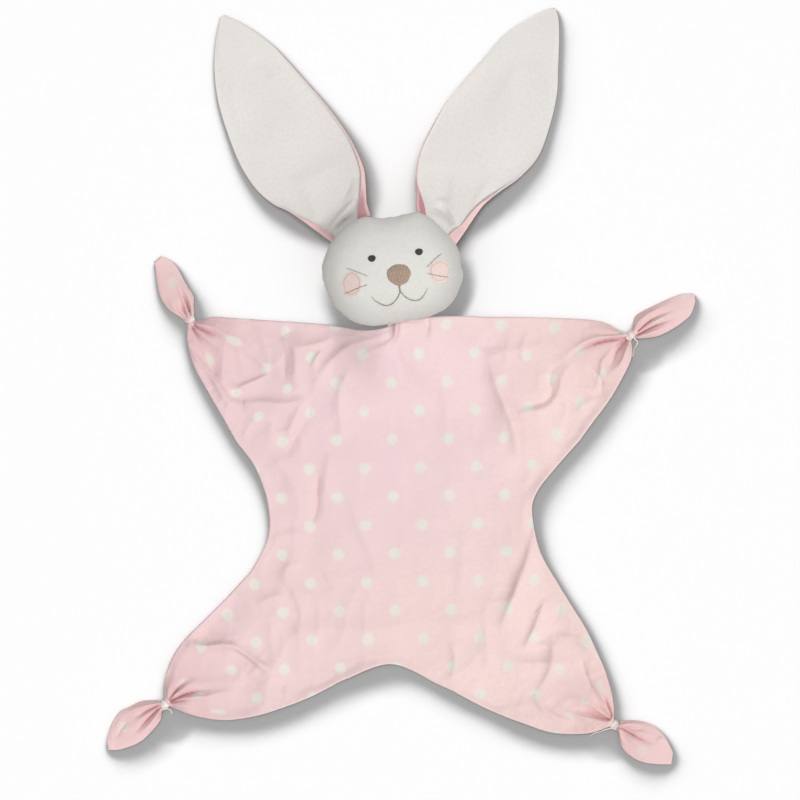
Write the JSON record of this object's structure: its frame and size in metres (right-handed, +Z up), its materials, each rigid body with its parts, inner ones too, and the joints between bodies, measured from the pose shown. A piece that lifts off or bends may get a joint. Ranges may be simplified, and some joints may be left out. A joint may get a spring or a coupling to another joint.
{
  "type": "comfort blanket",
  "caption": "Star-shaped comfort blanket in layered dotted cotton, its corners tied off with thread, with a stuffed rabbit head, embroidered face and long cloth ears, lying flat.",
  "frame": {"origin": "under the middle of the whole shape, on the surface that it lies on", "axes": "+X to the right of the face as it is seen from above, +Y from the blanket to the top of the head, +Z up, out of the face"},
  "size_m": [0.3841, 0.4918, 0.0523],
  "materials": {
    "dotted_cotton": "matte woven cotton, pink with pale dots",
    "white_cotton": "matte woven cotton, off-white",
    "pink_cotton": "matte woven cotton, plain pink",
    "stuffing": "loose fibre",
    "white_thread": "twisted cotton thread, off-white",
    "tan_thread": "satin-stitched embroidery thread, tan",
    "dark_thread": "satin-stitched embroidery thread, dark brown",
    "rose_thread": "embroidery thread, dusty rose",
    "cheek_cotton": "matte cotton patch, pale rose"
  },
  "bodies": {
    "torso": {"torso_front_panel": "dotted_cotton", "torso_back_panel": "dotted_cotton"},
    "arm_left": {"arm_left_front_panel": "dotted_cotton", "arm_left_back_panel": "dotted_cotton"},
    "arm_left_tie": {"arm_left_gathered_neck": "dotted_cotton", "arm_left_tie_thread": "white_thread"},
    "arm_left_tip": {"arm_left_tip": "dotted_cotton"},
    "arm_right": {"arm_right_front_panel": "dotted_cotton", "arm_right_back_panel": "dotted_cotton"},
    "arm_right_tie": {"arm_right_gathered_neck": "dotted_cotton", "arm_right_tie_thread": "white_thread"},
    "arm_right_tip": {"arm_right_tip": "dotted_cotton"},
    "leg_left": {"leg_left_front_panel": "dotted_cotton", "leg_left_back_panel": "dotted_cotton"},
    "leg_left_tie": {"leg_left_gathered_neck": "dotted_cotton", "leg_left_tie_thread": "white_thread"},
    "leg_left_tip": {"leg_left_tip": "dotted_cotton"},
    "leg_right": {"leg_right_front_panel": "dotted_cotton", "leg_right_back_panel": "dotted_cotton"},
    "leg_right_tie": {"leg_right_gathered_neck": "dotted_cotton", "leg_right_tie_thread": "white_thread"},
    "leg_right_tip": {"leg_right_tip": "dotted_cotton"},
    "neck": {"neck_tuck": "dotted_cotton"},
    "head": {"head_front_panel": "white_cotton", "head_back_panel": "white_cotton", "head_stuffing": "stuffing", "eye_left": "dark_thread", "eye_right": "dark_thread", "nose": "tan_thread", "lip_stem": "tan_thread", "mouth": "tan_thread", "cheek_left": "cheek_cotton", "cheek_right": "cheek_cotton", "cheek_ring_left": "rose_thread", "cheek_ring_right": "rose_thread", "whisker_left_upper": "tan_thread", "whisker_left_lower": "tan_thread", "whisker_right_upper": "tan_thread", "whisker_right_lower": "tan_thread"},
    "ear_left": {"ear_left_lining": "white_cotton", "ear_left_back": "pink_cotton"},
    "ear_right": {"ear_right_lining": "white_cotton", "ear_right_back": "pink_cotton"}
  },
  "joints": [
    {"name": "arm_left_fold", "type": "hinge", "parent": "torso", "child": "arm_left", "pos_m": [-0.07637, 0.0026, 0.0047], "axis": [0.6262, 0.7797, 0], "range_deg": [0, 120]},
    {"name": "arm_left_tie_swing", "type": "hinge", "parent": "arm_left", "child": "arm_left_tie", "pos_m": [-0.13586, 0.04157, 0.003], "axis": [0, 0, 1], "range_deg": [-30, 30]},
    {"name": "arm_left_tip_fold", "type": "hinge", "parent": "arm_left_tie", "child": "arm_left_tip", "pos_m": [-0.13772, 0.04746, 0.003], "axis": [0.9536, 0.301, 0], "range_deg": [0, 90]},
    {"name": "arm_right_fold", "type": "hinge", "parent": "torso", "child": "arm_right", "pos_m": [0.08742, 0.0052, 0.0047], "axis": [0.5904, -0.8071, 0], "range_deg": [0, 120]},
    {"name": "arm_right_tie_swing", "type": "hinge", "parent": "arm_right", "child": "arm_right_tie", "pos_m": [0.14814, 0.03249, 0.003], "axis": [0, 0, 1], "range_deg": [-30, 30]},
    {"name": "arm_right_tip_fold", "type": "hinge", "parent": "arm_right_tie", "child": "arm_right_tip", "pos_m": [0.15308, 0.03619, 0.003], "axis": [0.6001, -0.7999, 0], "range_deg": [0, 90]},
    {"name": "leg_left_fold", "type": "hinge", "parent": "torso", "child": "leg_left", "pos_m": [-0.07507, -0.16156, 0.0047], "axis": [-0.6543, 0.7563, 0], "range_deg": [0, 120]},
    {"name": "leg_left_tie_swing", "type": "hinge", "parent": "leg_left", "child": "leg_left_tie", "pos_m": [-0.1519, -0.20564, 0.003], "axis": [0, 0, 1], "range_deg": [-30, 30]},
    {"name": "leg_left_tip_fold", "type": "hinge", "parent": "leg_left_tie", "child": "leg_left_tip", "pos_m": [-0.15764, -0.20793, 0.003], "axis": [-0.3698, 0.9291, 0], "range_deg": [0, 90]},
    {"name": "leg_right_fold", "type": "hinge", "parent": "torso", "child": "leg_right", "pos_m": [0.06889, -0.16416, 0.0047], "axis": [-0.717, -0.6971, 0], "range_deg": [0, 120]},
    {"name": "leg_right_tie_swing", "type": "hinge", "parent": "leg_right", "child": "leg_right_tie", "pos_m": [0.13729, -0.21869, 0.003], "axis": [0, 0, 1], "range_deg": [-30, 30]},
    {"name": "leg_right_tip_fold", "type": "hinge", "parent": "leg_right_tie", "child": "leg_right_tip", "pos_m": [0.14261, -0.22182, 0.003], "axis": [-0.5071, -0.8619, 0], "range_deg": [0, 90]},
    {"name": "neck_tilt", "type": "hinge", "parent": "torso", "child": "neck", "pos_m": [0.0029, 0.03624, 0.0206], "axis": [0, 0, 1], "range_deg": [-4, 4]},
    {"name": "head_nod", "type": "hinge", "parent": "neck", "child": "head", "pos_m": [0.00253, 0.03881, 0.0216], "axis": [0.9903, 0.1392, 0], "range_deg": [0, 90]},
    {"name": "ear_left_fold", "type": "hinge", "parent": "head", "child": "ear_left", "pos_m": [-0.03479, 0.10599, 0.02665], "axis": [-0.8551, -0.5185, 0], "range_deg": [-85, 0]},
    {"name": "ear_right_fold", "type": "hinge", "parent": "head", "child": "ear_right", "pos_m": [0.02563, 0.10497, 0.02665], "axis": [-0.8295, 0.5585, 0], "range_deg": [-85, 0]}
  ]
}
